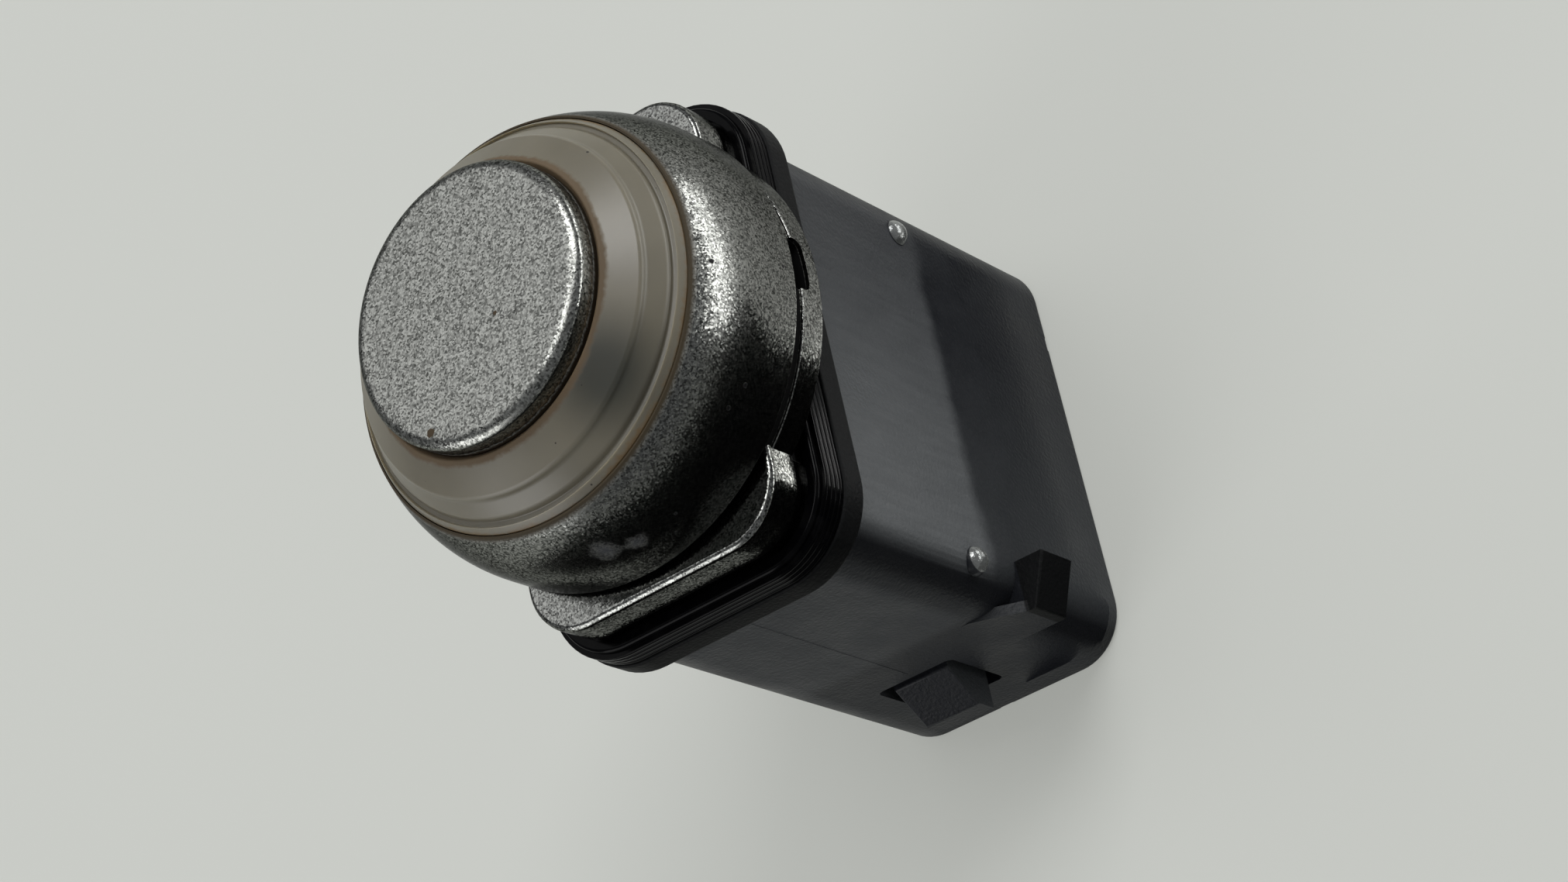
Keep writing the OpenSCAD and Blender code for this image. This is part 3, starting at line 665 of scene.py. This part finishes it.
# Decoupling ring: soft translucent silicone that keeps the cup's vibration out of the trim.
# It is cast in one piece as a stepped cone with a sleeve around the cup, and road dirt lies in its corners.
ring_radius = reach_of("decoupling_ring")
z_seat = rear_of("decoupling_ring")
z_cone = front_of("decoupling_ring")
z_cup = rear_of("membrane_cup")
seat_width = 2
sleeve_wall = 0.5
seat_radius = cup_radius - seat_width
sleeve_radius = cup_radius + sleeve_wall
groove = 0.25
run = ring_radius - cup_radius - groove
rise = z_cone - z_lip
# Each corner of the stepped cone is given by its share of the way in to the cup and of the way up.
cone_steps = [(0.09, 0.15), (0.115, 0.09), (0.195, 0.11), (0.222, 0.23), (0.43, 0.49), (0.452, 0.61)]
cone_rounds = {4: 0.05, 5: 0.04, 7: 0.06, 8: 0.1, 9: 0.1, 10: 0.15, 11: 0.08}
cone = [(ring_radius - out * run, z_lip + up * rise) for out, up in cone_steps]
ring = solid(lathe([
    (seat_radius, z_seat), (sleeve_radius, z_seat), (sleeve_radius, z_ring_flange),
    (ring_radius, z_ring_flange), (ring_radius, z_lip), *cone, (cup_radius + groove, z_cone),
    (cup_radius, z_cone - groove), (cup_radius, z_cup), (seat_radius, z_cup)],
    cone_rounds), "decoupling_ring")
# Cast silicone: milky and slightly yellow, with a dull skin that light soaks into. Brown dirt fills the
# joint with the cup and the outer corner, one side is painted darker as painted shade, and a few grains of
# soot stick on.
milk_cloud = 3.5
dirt_grain = 0.3
painted_shade_place = Vector((5.9, -6.1, 40.3))
painted_shade_size = 4.0
soot_spacing = 0.9
silicone, tree, shader, place = start_material("cast_silicone", 0.38)
shader.inputs["Specular IOR Level"].default_value = 0.6
shader.inputs["Subsurface Weight"].default_value = 0.4
shader.inputs["Subsurface Radius"].default_value = (1.0, 0.85, 0.6)
shader.inputs["Subsurface Scale"].default_value = 1.0 * MM
radius = from_axis(tree, place)
cloud = add(tree, "TexNoise", {"Vector": place, "Scale": 1 / (milk_cloud * MM), "Detail": 5}).outputs["Fac"]
milky = add(tree, "Mix", {0: cloud, 6: tint("#625d50"), 7: tint("#777264")}, data_type="RGBA").outputs[2]
tree.links.new(milky, shader.inputs["Base Color"])
# One side of the cone is painted darker, fading out from a point, which is painted shade.
away = add(tree, "VectorMath", {0: place, 1: painted_shade_place * MM}, operation="DISTANCE").outputs["Value"]
painted_shade = add(tree, "MapRange", {0: away, 1: painted_shade_size * MM, 2: 0.5 * MM},
            interpolation_type="SMOOTHSTEP").outputs[0]
cover(tree, shader, painted_shade, {"Base Color": tint("#3a3a33")})
wavy = add(tree, "Math", {0: cloud, 1: 0.5 * MM, 2: radius}, operation="MULTIPLY_ADD").outputs[0]
fine = add(tree, "TexNoise", {"Vector": place, "Scale": 1 / (dirt_grain * MM), "Detail": 4}).outputs["Fac"]
ragged = add(tree, "Math", {0: fine, 1: 0.25 * MM, 2: wavy}, operation="MULTIPLY_ADD").outputs[0]
dirt = add(tree, "MapRange", {0: ragged, 1: (cup_radius + 1.0) * MM,
                              2: (cup_radius + 0.82) * MM}).outputs[0]
cover(tree, shader, dirt, {"Base Color": tint("#5a4a34"), "Roughness": 0.75})
rim_dirt = add(tree, "MapRange", {0: ragged, 1: (ring_radius + 0.27) * MM,
                                  2: (ring_radius + 0.4) * MM}).outputs[0]
cover(tree, shader, rim_dirt, {"Base Color": tint("#6d5a3e")})
grains = add(tree, "TexVoronoi", {"Vector": place, "Scale": 1 / (soot_spacing * MM)})
rare = add(tree, "SeparateColor", {"Color": grains.outputs["Color"]}).outputs["Green"]
soot_size = add(tree, "MapRange", {0: rare, 1: 0.72, 2: 1.0, 3: 0.0, 4: 0.09}).outputs[0]
soot = add(tree, "Math", {0: grains.outputs["Distance"], 1: soot_size}, operation="LESS_THAN").outputs[0]
cover(tree, shader, soot, {"Base Color": tint("#191512")})
dress(ring, silicone, "decoupling_ring")

# Membrane cup: deep-drawn aluminium whose face vibrates, painted with the same silver paint.
# It stands in the soft ring, with its open end towards the housing.
z_face = front_of("membrane_cup")
cup_edge = (0.8, 0.55)
edge_steps = 12
cup_wall = 1.2
cup_face = 0.8
edge = []
for i in range(edge_steps + 1):
    a = math.pi / 2 * i / edge_steps
    edge.append((cup_radius - cup_edge[0] * (1 - math.cos(a)), z_face - cup_edge[1] * (1 - math.sin(a))))
cup = solid(lathe([(cup_radius - cup_wall, z_cup), (cup_radius, z_cup), *edge, (0, z_face),
                   (0, z_face - cup_face), (cup_radius - cup_wall, z_face - cup_face)]), "membrane_cup")
# The same paint, a little paler. Dirt creeps up from the soft ring, and there are a few brown specks.
cup_dirt_grain = 0.35
cup_paint, tree, shader, place = silver_paint(
    "silver_flake_paint_cup", "#4d4e4b", "#b5b6b1", flake=0.09, lean=0.12, roughness=0.26)
height = add(tree, "SeparateXYZ", {0: place}).outputs["Z"]
fine = add(tree, "TexNoise", {"Vector": place, "Scale": 1 / (cup_dirt_grain * MM),
                              "Detail": 4}).outputs["Fac"]
ragged = add(tree, "Math", {0: fine, 1: 0.3 * MM, 2: height}, operation="MULTIPLY_ADD").outputs[0]
dirt = add(tree, "MapRange", {0: ragged, 1: (z_cone + 0.3) * MM, 2: (z_cone + 0.12) * MM}).outputs[0]
cover(tree, shader, dirt, {"Base Color": tint("#2c2419"), "Metallic": 0.0, "Roughness": 0.7})
specks = [((-3.2, -5.6, z_face), 0.26), ((-3.55, 6.3, z_face), 0.1), ((1.85, -1.55, z_face), 0.12)]
for middle, radius in specks:
    speck = patch(tree, place, middle, radius)
    cover(tree, shader, speck, {"Base Color": tint("#4a3f31"), "Metallic": 0.3, "Roughness": 0.7})
dress(cup, cup_paint, "membrane_cup")

# Connector: a block of black PBT that closes the rear end of the housing, moulded with a deep socket.
# Slots at both ends keep its walls even, and a waist holds the seal against the housing.
shell_half = inset(body_half, body_wall + slide_room)
shell_corner = body_corner - body_wall - slide_room
socket_half = (4.6, 7.4)
socket_corner = 1.0
socket_lead_in = 0.3
pin_wall = 1.6
slot_width = 1.2
slot_depth = 4.8
waist = 0.8
shell_round = 0.15
socket_round = 0.2
slot_corner = 0.4
z_shell = rear_of("connector_shell")
z_shell_top = front_of("connector_shell")
z_waist = rear_of("shell_seal")
z_waist_top = front_of("shell_seal")
slot_y = (socket_half[1] + shell_half[1] - waist) / 2
shell = solid(plate(shell_half, shell_corner, z_shell, z_waist, shell_round), "connector_shell")
combine(shell, plate(inset(shell_half, waist), shell_corner - waist, z_waist - 0.2, z_waist_top + 0.2))
combine(shell, plate(shell_half, shell_corner, z_waist_top, z_shell_top, 0, shell_round))
combine(shell, plate(socket_half, socket_corner, z_shell - 1, z_shell_top - pin_wall, 0, socket_round),
        "DIFFERENCE")
combine(shell, plate(inset(socket_half, -socket_lead_in), socket_corner + socket_lead_in, z_shell - 1,
                     z_shell + socket_lead_in, 0, socket_lead_in - 0.02), "DIFFERENCE")
for end in (-1, 1):
    slot = block((-socket_half[0], end * slot_y - slot_width / 2, z_shell - 1),
                 (socket_half[0], end * slot_y + slot_width / 2, z_shell + slot_depth))
    soften(slot, lambda a, b: abs(a.z - b.z) > 0.1, slot_corner)
    combine(shell, slot, "DIFFERENCE")
# PBT from a polished mould: deep black and satin, with a faint flow pattern.
flow_size = 1.5
pbt_grain = 0.12
pbt_grain_depth = 0.02
pbt, tree, shader, place = start_material("moulded_black_pbt", 0.38)
shader.inputs["Specular IOR Level"].default_value = 0.4
flow = add(tree, "TexNoise", {"Vector": place, "Scale": 1 / (flow_size * MM), "Detail": 3}).outputs["Fac"]
tone = add(tree, "Mix", {0: flow, 6: tint("#0e0f10"), 7: tint("#1a1b1d")}, data_type="RGBA").outputs[2]
tree.links.new(tone, shader.inputs["Base Color"])
grain = add(tree, "TexNoise", {"Vector": place, "Scale": 1 / (pbt_grain * MM), "Detail": 2}).outputs["Fac"]
bump = add(tree, "Bump", {"Height": grain, "Strength": 0.2, "Distance": pbt_grain_depth * MM}).outputs[0]
tree.links.new(bump, shader.inputs["Normal"])

# Terminals: three flat pins stamped from tinned brass, pressed through the connector's inner wall.
# Each tip is coined to a blunt point, so that it finds its way into the plug.
tip_length = 1.0
tip_share = 0.45
pin_round = 0.05
# Tinned brass: a pale metal with a warm cast, clouded where the tin flowed.
tin_cloud = 0.6
tinned_brass, tree, shader, place = start_material("tinned_brass", 0.3, 1.0)
cloud = add(tree, "TexNoise", {"Vector": place, "Scale": 1 / (tin_cloud * MM), "Detail": 4}).outputs["Fac"]
tone = add(tree, "Mix", {0: cloud, 6: tint("#a8a08a"), 7: tint("#cfc9b6")}, data_type="RGBA").outputs[2]
tree.links.new(tone, shader.inputs["Base Color"])
sheen = add(tree, "MapRange", {0: cloud, 1: 0.3, 2: 0.7, 3: 0.22, 4: 0.4}).outputs[0]
tree.links.new(sheen, shader.inputs["Roughness"])
for name in ("terminal_supply", "terminal_signal", "terminal_ground"):
    low, high = (Vector(corner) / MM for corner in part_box(name))
    combine(shell, block((low.x, low.y, z_shell_top - pin_wall - 0.5), (high.x, high.y, z_shell_top + 1)),
            "DIFFERENCE")
    pin = block((low.x, low.y, low.z + tip_length), high)
    pin.normal_update()
    end_face = min(pin.faces, key=lambda face: face.normal.z)
    grown = bmesh.ops.extrude_face_region(pin, geom=[end_face])["geom"]
    tip = [part for part in grown if isinstance(part, bmesh.types.BMVert)]
    middle = (low + high) / 2
    bmesh.ops.translate(pin, vec=(0, 0, -tip_length), verts=tip)
    bmesh.ops.scale(pin, vec=(tip_share, tip_share, 1), space=Matrix.Translation(-middle), verts=tip)
    soften(pin, lambda a, b: True, pin_round, 2)
    dress(solid(pin, name), tinned_brass, name)
dress(shell, pbt, "connector_shell")

# Inside: the piezo disc with its pad and filler, the leads, the foam, the connector's seal and the board
# with its parts keep the shapes they were built with. Each takes the finish of the real thing, with a
# grain whose size is in millimetres.
inner_finishes = {
    "silvered_ceramic": ("piezo_disc", "#b5ae98", "#d8d2be", 0.08, 0.4, 0.5),
    "grey_felt": ("damping_pad", "#6d6d6b", "#979794", 0.15, 0.95, 0.0),
    "open_cell_foam": ("backing_foam", "#232323", "#4a4a49", 0.35, 0.95, 0.0),
    "cast_pale_silicone": ("cup_filler", "#b9b8b1", "#cfcec7", 0.8, 0.45, 0.0),
    "red_wire_sleeve": ("signal_lead", "#7d1a18", "#9c2521", 0.3, 0.45, 0.0),
    "black_wire_sleeve": ("return_lead", "#141414", "#242424", 0.3, 0.45, 0.0),
    "black_seal_rubber": ("shell_seal", "#070708", "#131314", 0.2, 0.4, 0.0),
    "green_solder_mask": ("circuit_board", "#12432a", "#1b5a38", 0.5, 0.3, 0.0),
    "sintered_ferrite": ("transformer_core", "#2e2e30", "#47474a", 0.1, 0.6, 0.1),
    "enamelled_copper": ("transformer_winding", "#8a4421", "#b96a38", 0.15, 0.3, 0.9),
    "chip_moulding": ("driver_chip", "#101011", "#1d1d1f", 0.1, 0.55, 0.0),
    "sleeved_can": ("storage_capacitor", "#a3a6aa", "#c3c6c9", 0.2, 0.3, 1.0),
    "tan_chip_ceramic": ("chip_capacitors", "#8d6f4f", "#b0906b", 0.1, 0.5, 0.0),
    "black_glaze": ("chip_resistors", "#0e0e0f", "#1c1c1d", 0.1, 0.3, 0.0),
}
for name, (node, dark, light, grain_size, roughness, metallic) in inner_finishes.items():
    finish, tree, shader, place = start_material(name, roughness, metallic)
    grain = add(tree, "TexNoise", {"Vector": place, "Scale": 1 / (grain_size * MM),
                                   "Detail": 3}).outputs["Fac"]
    tone = add(tree, "Mix", {0: grain, 6: tint(dark), 7: tint(light)}, data_type="RGBA").outputs[2]
    tree.links.new(tone, shader.inputs["Base Color"])
    bump = add(tree, "Bump", {"Height": grain, "Strength": 0.3,
                              "Distance": 0.3 * grain_size * MM}).outputs[0]
    tree.links.new(bump, shader.inputs["Normal"])
    for finish_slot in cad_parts[node].material_slots:
        finish_slot.material = finish
